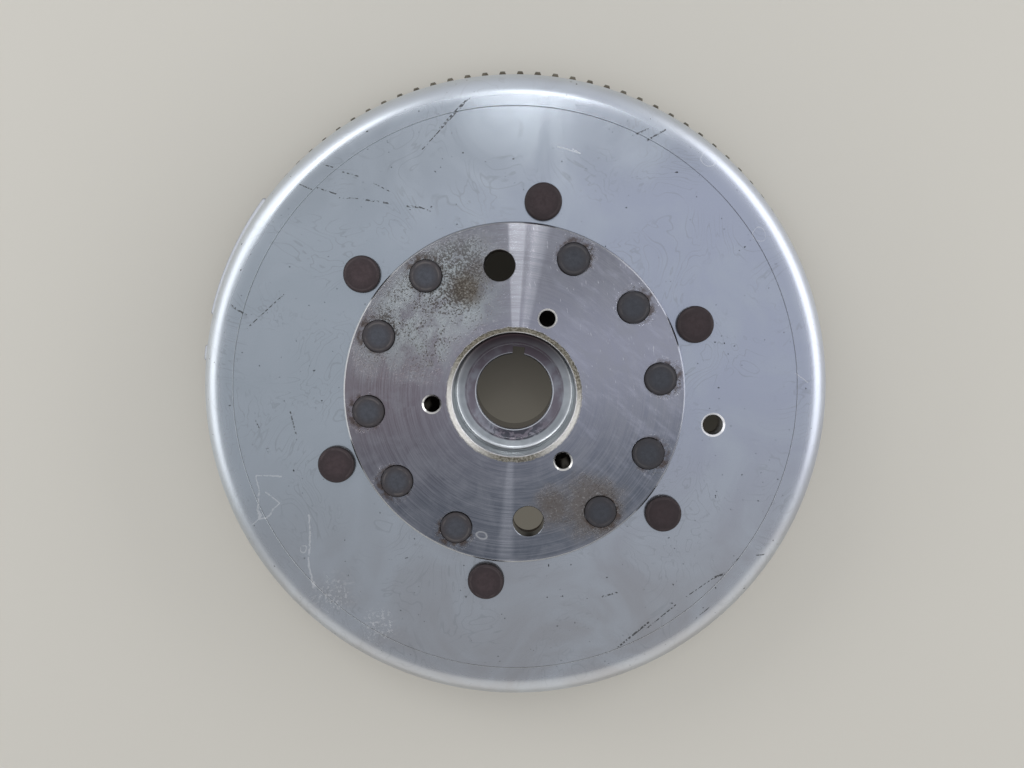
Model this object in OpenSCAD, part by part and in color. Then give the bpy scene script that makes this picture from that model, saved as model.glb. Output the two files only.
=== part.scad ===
// Magneto flywheel for a small vertical-crank engine.
// Millimetres. +Z is the crankshaft axis, the closed face is up and the open rim stands on z = 0.
// Angles are measured about +Z from +X.

/* [Drum] */
// Overall height, from the open rim to the front face of the hub
total_h = 57; // [52:0.5:70]
// Outer diameter of the drum wall
drum_d = 266; // [262:1:280]
// Thickness of the drum wall and floor
drum_t = 6; // [4:0.5:7]
// Outside radius of the rounded shoulder
shoulder_r = 10; // [8:0.5:14]
// How far the hub stands proud of the drum face
hub_proud = 1.3; // [0.5:0.1:2.5]
// Radius of the ring scribed on the drum face
scribe_r = 117.6; // [100:0.1:120]
// Radius at which the small drum hole sits
drum_hole_at = 84; // [82:0.5:86]
// Diameter of the small drum hole
drum_hole_d = 8.5; // [6:0.5:10]
// Direction of the small drum hole, half way between two rivets
drum_hole_angle = -15; // [-25:1:-5]

/* [Trigger bars] */
// Height that the trigger bars stand off the wall
bar_h = 3.6; // [1:0.1:5]
// Width of the trigger bars along the axis
bar_w = 10; // [6:0.5:12]
// Distance from the hub face down to the near edge of the bars
bar_depth = 16; // [14:0.5:18]
// First direction of the long bar
bar_start = 135; // [120:0.5:138]
// Last direction of the long bar
bar_end = 160; // [150:0.5:162]
// Direction of the short timing boss
boss_angle = 166.4; // [165:0.1:180]

/* [Hub] */
// Diameter of the hub's front face
hub_d = 142; // [136:1:146]
// Diameter of the thick part of the boss
boss_d = 86; // [82:1:88]
// Depth of the thick part, from the hub face
boss_depth = 24; // [20:0.5:28]
// Diameter of the long part of the boss
neck_d = 60; // [56:1:64]
// Distance of the boss's end face above the open rim
neck_z = 10; // [6:0.5:14]
// Diameter of the nut recess
recess_d = 52; // [48:0.5:54]
// Depth of the nut recess
recess_depth = 17.3; // [14:0.1:19]
// Outer diameter of the chamfer round the nut recess
recess_mouth_d = 56; // [54:0.1:60]
// Depth of that chamfer
recess_mouth_depth = 1.8; // [1:0.1:2.5]
// Fillet at the bottom of the nut recess
recess_fillet = 2.3; // [1:0.1:3]
// Diameter of the washer seat in the recess floor
seat_d = 41.6; // [38:0.1:44]
// Small-end diameter of the crankshaft taper
taper_d = 32.8; // [30:0.1:34]
// Taper on diameter: one in this many
taper_ratio = 10; // [8:1:12]
// Width of the keyway
key_w = 5.2; // [4:0.1:6]
// Depth of the keyway at the small end
key_depth = 3.3; // [2:0.1:4]
// Direction of the keyway
key_angle = 77.5; // [70:0.5:85]

/* [Hole circles] */
// Diameter of the inner circle, for the hub rivets
inner_pcd = 122; // [118:1:124]
// Diameter of the circle of the two plain through holes
through_pcd = 107.5; // [104:0.5:122]
// Diameter of the two plain through holes
through_d = 13; // [10:0.5:14]
// Diameter of the outer circle, for the drum rivets
outer_pcd = 160; // [158:1:162]
// Direction of the first drum rivet
outer_start = 15; // [10:1:20]
// Diameter of the circle of the puller holes
puller_pcd = 69; // [67:0.5:71]
// Thread core diameter of the puller holes
puller_d = 6.8; // [5:0.1:7]
// Direction of the first puller hole
puller_start = 60; // [50:1:70]

/* [Rivets] */
// Head diameter of the hub rivets
hub_head_d = 13.3; // [12:0.1:14]
// How far the hub rivets stand above the hub face
hub_head_proud = 1; // [0.2:0.1:1.5]
// Head diameter of the drum rivets
drum_head_d = 15.5; // [14:0.1:16]
// Head height of the drum rivets
drum_head_h = 2.6; // [1.5:0.1:3.5]
// Shank diameter of all the rivets
shank_d = 8; // [6:0.5:8]

/* [Back plate] */
// Inner diameter of the back plate
plate_id = 88; // [88:1:92]
// Outer diameter of the back plate
plate_od = 184; // [180:1:190]
// Thickness of the back plate
plate_t = 3.5; // [2.5:0.5:4]

/* [Ring gear] */
// Number of teeth
teeth = 112; // [112:1:114]
// Gear module
gear_module = 2.54; // [2.54:0.01:2.6]
// Width of the ring gear
gear_w = 11; // [9:0.5:13]
// Distance from the hub face down to the front of the ring gear
gear_depth = 44.5; // [42:0.5:46]
// Direction of the first tooth
tooth_start = -1; // [-3:0.1:3]

/* [Magnets] */
// Number of magnets
magnets = 12; // [12:1:12]
// Thickness of the magnets
magnet_t = 8.5; // [6:0.5:9]
// Length of the magnets along the axis
magnet_h = 30; // [24:1:32]
// Width of the cage fingers between the magnets
finger_w = 3; // [2:0.5:5]
// Thickness of the cage's lower ring
cage_lip = 2.5; // [1.5:0.5:4]
// Distance of the cage above the open rim
cage_z = 6; // [3:0.5:8]

/* [Hidden] */
$fn = 96;
drum_r = drum_d / 2;
bore_r = hub_d / 2 + 0.1;               // hole in the drum floor
face_z = total_h - hub_proud;           // drum face
floor_z = face_z - drum_t;              // inside of the drum floor
wall_r = drum_r - drum_t;               // inside of the drum wall
shoulder_c = drum_r - shoulder_r;       // centre radius of the shoulder
wall_top = face_z - shoulder_r;         // where the straight wall meets the shoulder
plate_z = floor_z - plate_t;            // underside of the back plate
step_z = total_h - boss_depth;          // underside of the thick boss
recess_z = total_h - recess_depth;      // floor of the nut recess
seat_sink = 0.3;                        // depth of the washer seat
hub_edge = 0.6;                         // chamfer round the hub face
hole_edge = 0.6;                        // chamfer on the drilled holes
scribe_w = 0.4;                         // width and depth of the scribed ring
tail_h = 2;                             // height of the rivets' rear heads
sink_depth = 1.6;                       // counterbore for the hub rivets
pitch_r = gear_module * teeth / 2;
tip_r = pitch_r + gear_module;
root_r = pitch_r - 1.25 * gear_module;
tip_half = 0.43 * gear_module;          // half widths of a tooth at its tip, pitch circle and root
pitch_half = 0.785 * gear_module;
root_half = 1.1 * gear_module;
tooth_edge = 1.2;                       // bevel on the ends of the teeth
gear_z = total_h - gear_depth - gear_w;
magnet_z = cage_z + cage_lip;
cage_top = floor_z - 5.5;               // the cage ends below the inner corner
magnet_ro = wall_r - 0.1;
magnet_ri = magnet_ro - magnet_t;
magnet_step = 360 / magnets;
finger_angle = finger_w / magnet_ri * 180 / PI;
cage_ri = magnet_ri - 0.6;              // the cage stands a little proud of the magnets
through_angles = [90, 270];
hub_rivet_angles = [for (k = [1:12]) if (k % 6 != 3) 30 * k];  // the rest of the twelve directions
drum_rivet_angles = [for (k = [0:5]) outer_start + 60 * k];
puller_angles = [for (k = [0:2]) puller_start + 120 * k];

function two(n) = n < 10 ? str("0", n) : str(n);

// Places its children at radius r in direction a.
module at_polar(r, a) { rotate([0, 0, a]) translate([r, 0, 0]) children(); }

// Plain drilling from z0 to z1, at radius r and in each direction of a list.
module drill(r, angles, d, z0, z1) {
    for (a = angles) at_polar(r, a) translate([0, 0, z0]) cylinder(d = d, h = z1 - z0);
}

// Countersink that widens a hole of diameter d at the surface z.
module countersink(r, angles, d, z, edge = hole_edge) {
    for (a = angles) at_polar(r, a) translate([0, 0, z - edge])
        cylinder(d1 = d, d2 = d + 2 * edge, h = edge);
}

// Half section of the drum's floor and rounded shoulder.
module drum_section() {
    difference() {
        union() {
            translate([bore_r, floor_z]) square([shoulder_c - bore_r, drum_t]);
            intersection() {
                translate([shoulder_c, wall_top]) circle(r = shoulder_r);
                translate([shoulder_c, wall_top]) square([shoulder_r, shoulder_r]);
            }
        }
        translate([shoulder_c, wall_top]) circle(r = shoulder_r - drum_t);
        translate([scribe_r - scribe_w / 2, face_z - scribe_w]) square([scribe_w, 2 * scribe_w]);
    }
}

// Section of a trigger bar: a low trapezoid sunk a little into the wall.
module bar_section(w) {
    polygon([[drum_r - 1, -w / 2], [drum_r, -w / 2], [drum_r + bar_h, -w / 2 + bar_h / 2],
             [drum_r + bar_h, w / 2 - bar_h / 2], [drum_r, w / 2], [drum_r - 1, w / 2]]);
}

// Round boss that stands off the wall and ends a trigger bar.
module bar_end_boss(a) {
    rotate([0, 0, a]) translate([drum_r - 1, 0, 0]) rotate([0, 90, 0]) {
        cylinder(d = bar_w, h = 1);
        translate([0, 0, 1]) cylinder(d1 = bar_w, d2 = bar_w - bar_h, h = bar_h - 0.05);
    }
}

module trigger_bars() {
    end_step = bar_w / 2 / drum_r * 180 / PI;
    translate([0, 0, total_h - bar_depth - bar_w / 2]) {
        rotate([0, 0, bar_start + end_step])
            rotate_extrude(angle = bar_end - bar_start - 2 * end_step) bar_section(bar_w);
        bar_end_boss(bar_start + end_step);
        bar_end_boss(bar_end - end_step);
        bar_end_boss(boss_angle);
    }
}

module drum() {
    color("lightsteelblue") difference() {
        rotate_extrude() drum_section();
        drill(outer_pcd / 2, drum_rivet_angles, shank_d, floor_z - 1, face_z + 1);
        drill(drum_hole_at, [drum_hole_angle], drum_hole_d, floor_z - 1, face_z + 1);
        countersink(drum_hole_at, [drum_hole_angle], drum_hole_d, face_z);
    }
}

// The drum's straight wall, pressed in one with its floor and modelled as a node of its own.
module drum_wall() {
    color("lightsteelblue") {
        rotate_extrude() translate([wall_r, 0]) square([drum_t, wall_top]);
        trigger_bars();
    }
}

// Half section of the hub's flange, from the axis outwards.
module flange_outline() {
    hub_r = hub_d / 2;
    polygon([[0, floor_z], [hub_r, floor_z], [hub_r, total_h - hub_edge],
             [hub_r - hub_edge, total_h], [0, total_h]]);
}

// Half section of the boss behind the flange.
module boss_outline() {
    polygon([[0, neck_z], [neck_d / 2 - 1, neck_z], [neck_d / 2, neck_z + 1], [neck_d / 2, step_z],
             [boss_d / 2 - 1, step_z], [boss_d / 2, step_z + 1], [boss_d / 2, floor_z], [0, floor_z]]);
}

// Half section of the nut recess: chamfered mouth, straight wall, fillet and washer seat.
module recess_section() {
    r = recess_d / 2;
    translate([0, recess_z]) square([r - recess_fillet, recess_depth + 1]);
    translate([0, recess_z + recess_fillet]) square([r, recess_depth]);
    translate([r - recess_fillet, recess_z + recess_fillet]) circle(r = recess_fillet);
    translate([0, recess_z - seat_sink]) square([seat_d / 2, 1]);
    polygon([[0, total_h - recess_mouth_depth], [r, total_h - recess_mouth_depth],
             [recess_mouth_d / 2, total_h], [recess_mouth_d / 2, total_h + 1], [0, total_h + 1]]);
}

module taper_bore() {
    top_z = recess_z + 1;
    low_z = neck_z - 1;
    wide_d = taper_d + (recess_z - low_z) / taper_ratio;
    translate([0, 0, low_z]) cylinder(d1 = wide_d, d2 = taper_d - 1 / taper_ratio, h = top_z - low_z);
    rotate([0, 0, key_angle]) translate([0, -key_w / 2, low_z])
        cube([taper_d / 2 + key_depth, key_w, top_z - low_z]);
}

module hub() {
    color("silver") difference() {
        rotate_extrude() flange_outline();
        rotate_extrude() recess_section();
        drill(inner_pcd / 2, hub_rivet_angles, shank_d, floor_z - 1, total_h + 1);
        drill(inner_pcd / 2, hub_rivet_angles, hub_head_d, total_h - sink_depth, total_h + 1);
        drill(through_pcd / 2, through_angles, through_d, floor_z - 1, total_h + 1);
        drill(puller_pcd / 2, puller_angles, puller_d, floor_z - 1, total_h + 1);
        countersink(puller_pcd / 2, puller_angles, puller_d, total_h, 0.8);
    }
}

// The thick boss and its neck, forged in one with the flange and modelled as a node of its own.
module hub_boss() {
    color("silver") difference() {
        rotate_extrude() boss_outline();
        rotate_extrude() recess_section();
        taper_bore();
        drill(puller_pcd / 2, puller_angles, puller_d, step_z - 1, floor_z + 1);
    }
}

module back_plate() {
    color("slategray") translate([0, 0, plate_z]) difference() {
        cylinder(d = plate_od, h = plate_t);
        translate([0, 0, -1]) cylinder(d = plate_id, h = plate_t + 2);
        drill(inner_pcd / 2, hub_rivet_angles, shank_d, -1, plate_t + 1);
        drill(through_pcd / 2, through_angles, through_d, -1, plate_t + 1);
        drill(outer_pcd / 2, drum_rivet_angles, shank_d, -1, plate_t + 1);
        drill(drum_hole_at, [drum_hole_angle], drum_hole_d, -1, plate_t + 1);
    }
}

// Flat bevelled rivet from below: rear head, shank, then front head.
module rivet(head_d, head_h, seat_z, edge) {
    translate([0, 0, plate_z - tail_h]) cylinder(d1 = head_d - 3, d2 = head_d - 1, h = tail_h);
    translate([0, 0, plate_z]) cylinder(d = shank_d, h = seat_z - plate_z);
    translate([0, 0, seat_z]) cylinder(d = head_d, h = head_h - edge);
    translate([0, 0, seat_z + head_h - edge]) cylinder(d1 = head_d, d2 = head_d - 2 * edge, h = edge);
}

module hub_rivet(i) {
    color("dimgray") at_polar(inner_pcd / 2, hub_rivet_angles[i - 1])
        rivet(hub_head_d, sink_depth + hub_head_proud, total_h - sink_depth, 0.4);
}

module drum_rivet(i) {
    color("sienna") at_polar(outer_pcd / 2, drum_rivet_angles[i - 1])
        rivet(drum_head_d, drum_head_h, face_z, 0.8);
}

// Outline of one tooth, sunk into the ring below its root.
module tooth() {
    polygon([[root_r - 1, -root_half], [root_r, -root_half], [pitch_r, -pitch_half], [tip_r, -tip_half],
             [tip_r, tip_half], [pitch_r, pitch_half], [root_r, root_half], [root_r - 1, root_half]]);
}

module ring_gear() {
    color("darkkhaki") translate([0, 0, gear_z]) intersection() {
        linear_extrude(height = gear_w) difference() {
            union() {
                circle(r = root_r, $fn = 2 * teeth);
                for (k = [0:teeth - 1]) rotate(tooth_start + k * 360 / teeth) tooth();
            }
            circle(r = drum_r, $fn = 2 * teeth);
        }
        union() {
            cylinder(r1 = tip_r - tooth_edge, r2 = tip_r + 0.1, h = tooth_edge + 0.1);
            translate([0, 0, tooth_edge + 0.1]) cylinder(r = tip_r + 0.1, h = gear_w);
        }
    }
}

// Arc block between two radii, centred on the direction a.
module arc_block(ri, ro, a, sweep, h) {
    rotate([0, 0, a - sweep / 2]) rotate_extrude(angle = sweep) translate([ri, 0]) square([ro - ri, h]);
}

module magnet(i) {
    color([0.22, 0.22, 0.24]) translate([0, 0, magnet_z])
        arc_block(magnet_ri, magnet_ro, magnet_step * (i - 1), magnet_step - finger_angle - 0.1, magnet_h);
}

module magnet_cage() {
    color([0.12, 0.12, 0.13]) difference() {
        translate([0, 0, cage_z]) rotate_extrude()
            translate([cage_ri, 0]) square([magnet_ro - cage_ri, cage_top - cage_z]);
        for (k = [0:magnets - 1]) translate([0, 0, magnet_z])
            arc_block(cage_ri - 1, magnet_ro + 1, magnet_step * k, magnet_step - finger_angle, magnet_h);
    }
}

drum();
drum_wall();
hub();
hub_boss();
back_plate();
ring_gear();
magnet_cage();
for (i = [1:10]) hub_rivet(i);
for (i = [1:6]) drum_rivet(i);
for (i = [1:magnets]) magnet(i);
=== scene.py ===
"""Looks of a small-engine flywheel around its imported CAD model.

Shapes and marks are written in millimetres and scaled to metres when a mesh is made. The crank axis is Z,
the closed face is up and the open rim stands on z = 0. Angles are degrees about +Z from +X.
"""

import math
import random

import bmesh
import bpy
from mathutils import Matrix, Vector


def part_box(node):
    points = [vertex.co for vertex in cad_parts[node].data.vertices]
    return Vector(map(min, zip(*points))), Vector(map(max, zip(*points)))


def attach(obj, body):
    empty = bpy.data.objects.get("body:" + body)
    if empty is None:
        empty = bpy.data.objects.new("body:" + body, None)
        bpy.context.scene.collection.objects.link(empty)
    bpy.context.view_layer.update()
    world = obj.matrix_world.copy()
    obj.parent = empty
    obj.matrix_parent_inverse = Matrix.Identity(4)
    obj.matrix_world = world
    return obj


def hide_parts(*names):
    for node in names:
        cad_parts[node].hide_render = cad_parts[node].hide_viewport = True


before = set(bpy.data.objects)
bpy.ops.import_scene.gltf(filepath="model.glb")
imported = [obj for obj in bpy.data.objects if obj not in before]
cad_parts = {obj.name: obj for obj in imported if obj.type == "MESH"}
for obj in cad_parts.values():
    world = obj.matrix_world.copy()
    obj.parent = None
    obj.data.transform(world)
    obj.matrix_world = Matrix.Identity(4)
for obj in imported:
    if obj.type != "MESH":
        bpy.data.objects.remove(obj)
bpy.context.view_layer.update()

MM = 0.001
BODY = "root"
random.seed(11)

# ------------------------------------------------------------------ sizes


def box_mm(node):
    """Low and high corner of a CAD node in mm."""
    low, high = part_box(node)
    return low / MM, high / MM


FACE_Z = box_mm("drum")[1].z
SHOULDER_Z, DRUM_R = box_mm("drum")[0].z, box_mm("drum")[1].x
HUB_TOP, HUB_R = box_mm("hub")[1].z, box_mm("hub")[1].x
FLOOR_Z = box_mm("hub")[0].z
NECK_Z = box_mm("hub_boss")[0].z
PLATE_Z, PLATE_R = box_mm("back_plate")[0].z, box_mm("back_plate")[1].x
GEAR_Z0, GEAR_Z1 = box_mm("ring_gear")[0].z, box_mm("ring_gear")[1].z
CAGE_Z0, CAGE_Z1 = box_mm("magnet_cage")[0].z, box_mm("magnet_cage")[1].z
CAGE_R = box_mm("magnet_cage")[1].x
MAGNET_Z0, MAGNET_Z1 = box_mm("magnet_01")[0].z, box_mm("magnet_01")[1].z
HUB_RIVET_TOP = box_mm("hub_rivet_01")[1].z
DRUM_RIVET_TOP = box_mm("drum_rivet_01")[1].z

# drum: its wall leans in by DRAFT, and the scribed ring is twice SCRIBE_HALF wide
WALL, DRAFT = 6, 0.5
SHOULDER_R = FACE_Z - SHOULDER_Z
SCRIBE_R, SCRIBE_HALF = 117.6, 0.2

# hub: recess, its chamfered mouth and washer seat, bore, boss, neck and keyway
RECESS_R, MOUTH_R, SEAT_R = 26, 28, 20.8
RECESS_Z = HUB_TOP - 17.3
MOUTH_Z = HUB_TOP - 1.8
TAPER_R = 16.4
BOSS_R, BOSS_Z, NECK_R = 43, HUB_TOP - 24, 30
KEY_HALF, KEY_REACH, KEY_ANGLE = 2.6, 3.3, 77.5
PLATE_HOLE_R = 44

# circles of rivets and holes, the directions on them and their radii
INNER_CIRCLE, OUTER_CIRCLE, PULLER_CIRCLE, THROUGH_CIRCLE = 61, 80, 34.5, 53.75
HUB_RIVETS = [a for a in range(30, 361, 30) if a % 180 != 90]
DRUM_RIVETS = [15 + 60 * i for i in range(6)]
THROUGH_HOLES = [90, 270]
PULLER_HOLES = [60, 180, 300]
DRUM_HOLE = (84, -15)
PULLER_R, THROUGH_R, DRUM_HOLE_R = 3.4, 6.5, 4.25
HUB_HEAD_R, DRUM_HEAD_R, SHANK_R = 6.65, 7.75, 4
RIVET_SEAT_Z = HUB_TOP - 1.6

# ring gear and magnets
TEETH, MODULE = 112, 2.54
PITCH_R = MODULE * TEETH / 2
MAGNETS = 12

# trigger bars: middle height, how far they stand out, half width, corner radius and width of their slope;
# the wall's mesh is finer from BARS_FROM to BARS_TO
BAR_Z, BAR_HIGH, BAR_HALF, BAR_CORNER, BAR_SLOPE = 36, 4.3, 5, 2.6, 2.2
LONG_BAR, SHORT_BAR = (135, 160), (164.2, 168.6)
BARS_FROM, BARS_TO = 131, 172

# ------------------------------------------------------------------ mesh tools


def turns(count):
    """Evenly spaced directions, in radians."""
    return [2 * math.pi * i / count for i in range(count)]


def polar(radius, degrees):
    """Place at a radius and a direction, as x and y."""
    a = math.radians(degrees)
    return radius * math.cos(a), radius * math.sin(a)


def at_angle(radius, angle, z, centre=(0, 0)):
    """Point at a radius and an angle in radians round a vertical axis."""
    return centre[0] + radius * math.cos(angle), centre[1] + radius * math.sin(angle), z


def smoothstep(low, high, value):
    """0 up to the low value, 1 from the high one, and a smooth step between them."""
    t = min(1, max(0, (value - low) / (high - low)))
    return t * t * (3 - 2 * t)


def arc(centre, radius, start, end, steps):
    """Points of an arc in a half section, in degrees from +r towards +z."""
    points = []
    for i in range(steps + 1):
        x, z = polar(radius, start + (end - start) * i / steps)
        points.append((centre[0] + x, centre[1] + z))
    return points


def to_object(name, bm):
    """Scales a mesh made in mm to metres and links it as an object."""
    bmesh.ops.remove_doubles(bm, verts=bm.verts, dist=1e-5)
    bmesh.ops.recalc_face_normals(bm, faces=bm.faces)
    bmesh.ops.scale(bm, vec=(MM, MM, MM), verts=bm.verts)
    mesh = bpy.data.meshes.new(name)
    bm.to_mesh(mesh)
    bm.free()
    piece = bpy.data.objects.new(name, mesh)
    bpy.context.scene.collection.objects.link(piece)
    return piece


def skin(bm, rings, closed=True):
    """Quads between following rings of points, each ring a closed loop."""
    rows = [[bm.verts.new(p) for p in ring] for ring in rings]
    pairs = list(zip(rows, rows[1:])) + ([(rows[-1], rows[0])] if closed else [])
    for row, other in pairs:
        for j in range(len(row)):
            k = (j + 1) % len(row)
            bm.faces.new([row[j], other[j], other[k], row[k]])
    return rows


def add_lathe(bm, section, angles, centre=(0, 0)):
    """Closed half section of (r, z) points turned about a vertical axis."""
    skin(bm, [[at_angle(r, a, z, centre) for r, z in section] for a in angles])


def add_drill(bm, x, y, steps, sides=64):
    """Round solid cutter through (radius, z) steps, bottom first."""
    rows = skin(bm, [[at_angle(r, a, z, (x, y)) for a in turns(sides)] for r, z in steps], closed=False)
    bm.faces.new(rows[0])
    bm.faces.new(rows[-1])


def drill_steps(radius, bottom, top, chamfer):
    """Steps of a cutter for a round hole with a 45 degree chamfer at its top."""
    wide = radius + chamfer
    return [(radius, bottom), (radius, top - chamfer), (wide, top), (wide + 1, top + 1)]


def add_drills(bm, radius, directions, steps):
    """The same cutter at several places of a circle."""
    for a in directions:
        add_drill(bm, *polar(radius, a), steps)


def add_box(bm, low, high, degrees=0):
    """Box between two corners, turned about the crank axis."""
    corners = [(low[0], low[1]), (high[0], low[1]), (high[0], high[1]), (low[0], high[1])]
    turn = Matrix.Rotation(math.radians(degrees), 3, "Z")
    levels = (low[2], high[2])
    rows = skin(bm, [[turn @ Vector((x, y, z)) for x, y in corners] for z in levels], closed=False)
    bm.faces.new(rows[0])
    bm.faces.new(rows[1])


def add_arc_block(bm, r0, r1, middle, sweep, z0, z1, steps=16):
    """Block between two radii and two heights, round a direction."""
    section = ((r0, z0), (r1, z0), (r1, z1), (r0, z1))
    directions = [middle - sweep / 2 + sweep * i / steps for i in range(steps + 1)]
    rows = skin(bm, [[(*polar(r, a), z) for r, z in section] for a in directions], closed=False)
    bm.faces.new(rows[0])
    bm.faces.new(rows[-1])


def settle(piece):
    """Applies a piece's modifiers to its mesh."""
    bpy.context.view_layer.update()
    depsgraph = bpy.context.evaluated_depsgraph_get()
    mesh = bpy.data.meshes.new_from_object(piece.evaluated_get(depsgraph))
    piece.modifiers.clear()
    piece.data = mesh


def cut(piece, cutter_mesh):
    """Subtracts a closed mesh from a piece."""
    cutter = to_object("cutter", cutter_mesh)
    modifier = piece.modifiers.new("cut", "BOOLEAN")
    modifier.operation = "DIFFERENCE"
    modifier.solver = "EXACT"
    modifier.object = cutter
    settle(piece)
    bpy.data.objects.remove(cutter)


def bevel(piece, width, segments=2):
    """Rounds or chamfers the edges of a piece that are sharper than 40 degrees."""
    modifier = piece.modifiers.new("bevel", "BEVEL")
    modifier.width = width * MM
    modifier.segments = segments
    modifier.limit_method = "ANGLE"
    modifier.angle_limit = math.radians(40)
    settle(piece)


def finish_piece(piece, material, slot, *nodes):
    """Shades a piece and lets it ride the body in place of its CAD nodes."""
    piece.data.shade_smooth()
    piece.data.set_sharp_from_angle(angle=math.radians(32))
    piece.data.materials.clear()
    piece.data.materials.append(material)
    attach(piece, BODY)
    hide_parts(*nodes)


# ------------------------------------------------------------------ shader tools


class Shader:
    """A node material with short calls for the nodes used here. Places are in mm."""

    def __init__(self, name):
        self.material = bpy.data.materials.new(name)
        self.material.use_nodes = True
        self.tree = self.material.node_tree
        self.tree.nodes.clear()
        output = self.add("OutputMaterial")
        self.bsdf = self.add("BsdfPrincipled")
        self.link(self.bsdf.outputs[0], output.inputs["Surface"])
        self.place = self.vector("MULTIPLY", self.add("TexCoord").outputs["Object"], (1 / MM,) * 3)
        self.x, self.y, self.z = self.split(self.place)
        self.flat = self.join(self.x, self.y, 0.0)
        self.radius = self.vector("LENGTH", self.flat)
        self.angle = self.math("ARCTAN2", self.y, self.x)
        waves = self.math("SUBTRACT", self.noise(0.12, detail=3), 0.5)
        shift = self.join(self.times(waves, 6.0), self.times(waves, -4.0), 0.0)
        self.wavy = self.vector("ADD", self.flat, shift)

    def add(self, kind):
        """Adds a shader node of a kind."""
        return self.tree.nodes.new("ShaderNode" + kind)

    def link(self, source, target):
        self.tree.links.new(source, target)

    def put(self, value, socket):
        """Links a socket, or sets a number, a vector or a colour."""
        if isinstance(value, bpy.types.NodeSocket):
            self.link(value, socket)
        elif socket.type == "RGBA" and len(value) == 3:
            socket.default_value = (*value, 1)
        else:
            socket.default_value = value

    def set(self, **values):
        """Sets the surface's sockets by name, with _ for a space."""
        for name, value in values.items():
            self.put(value, self.bsdf.inputs[name.replace("_", " ")])

    def math(self, operation, a, b=0.0, c=0.0):
        node = self.add("Math")
        node.operation = operation
        for value, socket in zip((a, b, c), node.inputs):
            self.put(value, socket)
        return node.outputs[0]

    def times(self, *values):
        """Product of two or more values."""
        out = values[0]
        for value in values[1:]:
            out = self.math("MULTIPLY", out, value)
        return out

    def most(self, *values):
        """Largest of the values."""
        out = values[0]
        for value in values[1:]:
            out = self.math("MAXIMUM", out, value)
        return out

    def vector(self, operation, a, b=(0, 0, 0)):
        node = self.add("VectorMath")
        node.operation = operation
        self.put(a, node.inputs[0])
        self.put(b, node.inputs[1])
        return node.outputs["Value" if operation in ("LENGTH", "DOT_PRODUCT") else "Vector"]

    def split(self, vector):
        node = self.add("SeparateXYZ")
        self.link(vector, node.inputs[0])
        return node.outputs

    def join(self, x, y, z):
        node = self.add("CombineXYZ")
        for value, socket in zip((x, y, z), node.inputs):
            self.put(value, socket)
        return node.outputs[0]

    def constants(self, node, **values):
        """Sets a node's own numbers by name, with _ for a space."""
        for name, value in values.items():
            node.inputs[name.replace("_", " ")].default_value = value

    def noise(self, scale, detail=3.0, rough=0.5, twist=0.0, where=None):
        """Noise from 0 to 1, with scale in waves per mm."""
        node = self.add("TexNoise")
        self.link(where or self.place, node.inputs["Vector"])
        self.constants(node, Scale=scale, Detail=detail, Roughness=rough, Distortion=twist)
        return node.outputs["Fac"]

    def span(self, value, low, high, to_low=0.0, to_high=1.0):
        """Smooth step of a value from low..high to to_low..to_high."""
        node = self.add("MapRange")
        node.interpolation_type = "SMOOTHSTEP"
        self.put(value, node.inputs["Value"])
        self.constants(node, From_Min=low, From_Max=high, To_Min=to_low, To_Max=to_high)
        return node.outputs["Result"]

    def band(self, value, low, high, soft):
        """1 where low < value < high, with soft sides."""
        above = self.span(value, low - soft, low + soft)
        below = self.span(value, high - soft, high + soft, 1, 0)
        return self.times(above, below)

    def blend(self, amount, a, b):
        """Colour a towards colour b."""
        node = self.add("Mix")
        node.data_type = "RGBA"
        self.put(amount, node.inputs[0])
        first, second = [socket for socket in node.inputs if socket.type == "RGBA"]
        self.put(a, first)
        self.put(b, second)
        return next(socket for socket in node.outputs if socket.type == "RGBA")

    def spot(self, x, y, inner, outer, uneven=0.0, scale=0.2):
        """1 inside a round spot, fading from the inner to the outer radius, with a ragged edge."""
        away = self.vector("LENGTH", self.vector("SUBTRACT", self.flat, (x, y, 0)))
        if uneven:
            ragged = self.noise(scale, detail=4, rough=0.6)
            away = self.math("ADD", away, self.times(self.math("SUBTRACT", ragged, 0.5), uneven))
        return self.span(away, inner, outer, 1, 0)

    def facing(self, degrees, wide):
        """1 towards a direction about the crank axis, fading to 0 at wide degrees from it."""
        aim = self.vector("DOT_PRODUCT", self.vector("NORMALIZE", self.flat), (*polar(1, degrees), 0))
        return self.span(aim, math.cos(math.radians(wide)), 1)

    def wedge(self, start, end, soft):
        """1 between two directions about the crank axis, in degrees from -180 to 180."""
        return self.band(self.angle, math.radians(start), math.radians(end), math.radians(soft))

    def stroke(self, start, end, width, path):
        """1 along a line between two (radius, degrees) places; path is the flat or the wavy place."""
        x0, y0 = polar(*start)
        x1, y1 = polar(*end)
        along = Vector((x1 - x0, y1 - y0, 0))
        offset = self.vector("SUBTRACT", path, (x0, y0, 0))
        t = self.times(self.vector("DOT_PRODUCT", offset, tuple(along)), 1 / along.length_squared)
        t = self.math("MINIMUM", self.math("MAXIMUM", t, 0.0), 1.0)
        near = self.vector("MULTIPLY", self.join(t, t, 0.0), tuple(along))
        away = self.vector("LENGTH", self.vector("SUBTRACT", offset, near))
        return self.span(away, width * 0.4, width, 1, 0)

    def ring(self, place, size, width):
        """1 on a small circle round a (radius, degrees) place."""
        away = self.vector("LENGTH", self.vector("SUBTRACT", self.wavy, (*polar(*place), 0)))
        return self.band(away, size - width / 2, size + width / 2, width / 2)

    def turned(self, fine):
        """Tool marks of a lathe: noise across the radius that hardly changes along the angle."""
        across = self.join(self.radius, self.times(self.angle, 0.8), self.z)
        return self.noise(fine, detail=4, rough=0.75, where=across)

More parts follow.
